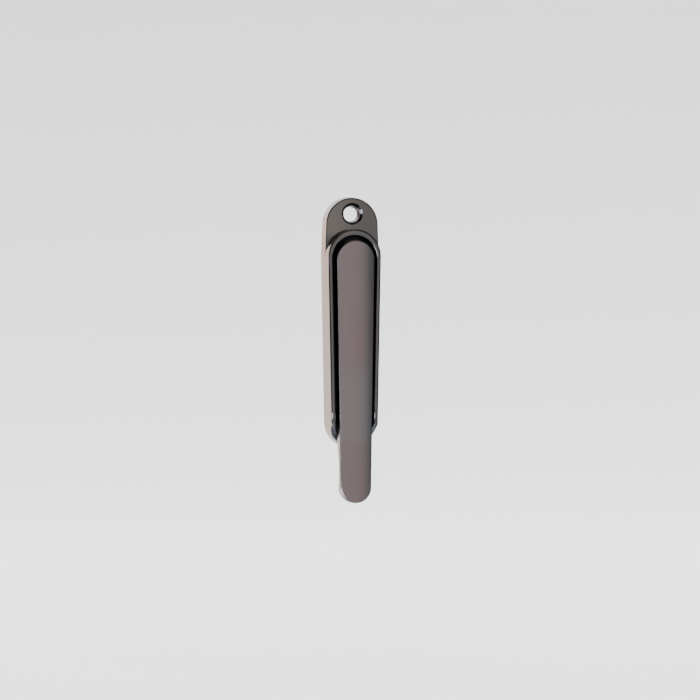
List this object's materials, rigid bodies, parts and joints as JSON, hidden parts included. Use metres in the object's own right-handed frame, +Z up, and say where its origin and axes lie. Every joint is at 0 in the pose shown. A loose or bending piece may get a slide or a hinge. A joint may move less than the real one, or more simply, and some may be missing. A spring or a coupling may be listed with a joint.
{
  "type": "lift and turn handle",
  "caption": "Slim upright door handle: a tapered lever folds into a die-cast housing with a screw plate above, lifts on a pin and turns a square spindle.",
  "frame": {"origin": "where the spindle's axis meets the plane of the door", "axes": "+X to the right as seen from the front, +Y into the door along the spindle, +Z up along the housing"},
  "size_m": [0.0242, 0.0313, 0.1297],
  "materials": {
    "black_nickel": "polished zinc casting with a dark nickel plating",
    "steel": "bright zinc-plated steel",
    "spring_steel": "oiled spring steel",
    "nylon": "natural nylon, moulded"
  },
  "bodies": {
    "base": {"housing": "black_nickel", "bearing_bush": "nylon", "thrust_washer": "steel", "wave_washer": "spring_steel"},
    "rotor": {"hub": "steel", "spindle": "steel", "retaining_ring": "spring_steel", "lift_spring": "spring_steel"},
    "handle": {"lever": "black_nickel", "lift_pin": "steel"}
  },
  "joints": [
    {"name": "turn", "type": "hinge", "parent": "base", "child": "rotor", "pos_m": [0, 0, 0], "axis": [0, 1, 0], "range_deg": [0, 90]},
    {"name": "lift", "type": "hinge", "parent": "rotor", "child": "handle", "pos_m": [0, -0.0084, 0.0029], "axis": [-1, 0, 0], "range_deg": [0, 45], "deforming": ["lift_spring"]}
  ],
  "couplings": [
    {"joint": "lift", "follows": "turn", "ratio": 0.5}
  ]
}
